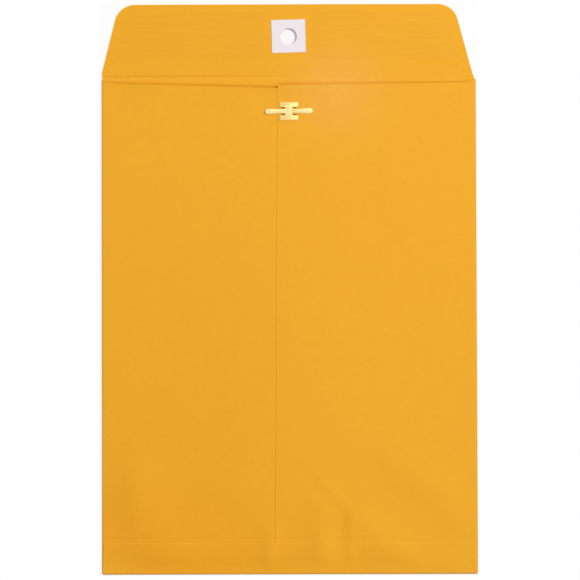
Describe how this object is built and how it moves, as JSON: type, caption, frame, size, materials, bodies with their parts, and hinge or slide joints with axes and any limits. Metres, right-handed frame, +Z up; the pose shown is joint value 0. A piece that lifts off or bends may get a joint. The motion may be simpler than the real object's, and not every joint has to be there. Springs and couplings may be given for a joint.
{
  "type": "clasp envelope",
  "caption": "Flat kraft paper envelope with a hinged seal flap, a punched white patch and a brass clasp whose prongs bend up through the hole.",
  "frame": {"origin": "on the table under the middle of the open envelope, address side down", "axes": "+X to the right across the clasp side, +Y from the bottom fold towards the flap's tip, +Z up out of the clasp side"},
  "size_m": [0.2286, 0.3476, 0.0013],
  "materials": {
    "kraft_paper": "matte, fine fibres",
    "kraft_fold": "matte, slightly polished along the crease",
    "dried_glue": "clear, dried",
    "flap_gum": "satin dry gum, faint streaks",
    "white_paper": "matte",
    "pale_brass": "bright, pressed sheet"
  },
  "bodies": {
    "pocket": {"front_panel": "kraft_paper", "left_back_panel": "kraft_paper", "right_back_panel": "kraft_paper", "left_side_fold": "kraft_fold", "right_side_fold": "kraft_fold", "bottom_fold": "kraft_fold", "bottom_flap": "kraft_paper", "seam_adhesive": "dried_glue", "bottom_adhesive": "dried_glue", "clasp_base": "pale_brass"},
    "seal_flap": {"seal_flap": "kraft_paper", "left_flap_gum": "flap_gum", "right_flap_gum": "flap_gum", "patch_adhesive": "dried_glue", "hole_patch": "white_paper"},
    "left_prong": {"left_prong": "pale_brass"},
    "right_prong": {"right_prong": "pale_brass"}
  },
  "joints": [
    {"name": "flap_fold", "type": "hinge", "parent": "pocket", "child": "seal_flap", "pos_m": [0, 0.131, 0.00085], "axis": [1, 0, 0], "range_deg": [0, 177]},
    {"name": "left_prong_bend", "type": "hinge", "parent": "pocket", "child": "left_prong", "pos_m": [-0.00244, 0.1083, 0.00116], "axis": [0, 1, 0], "range_deg": [0, 90]},
    {"name": "right_prong_bend", "type": "hinge", "parent": "pocket", "child": "right_prong", "pos_m": [0.00244, 0.1083, 0.00116], "axis": [0, -1, 0], "range_deg": [0, 90]}
  ]
}
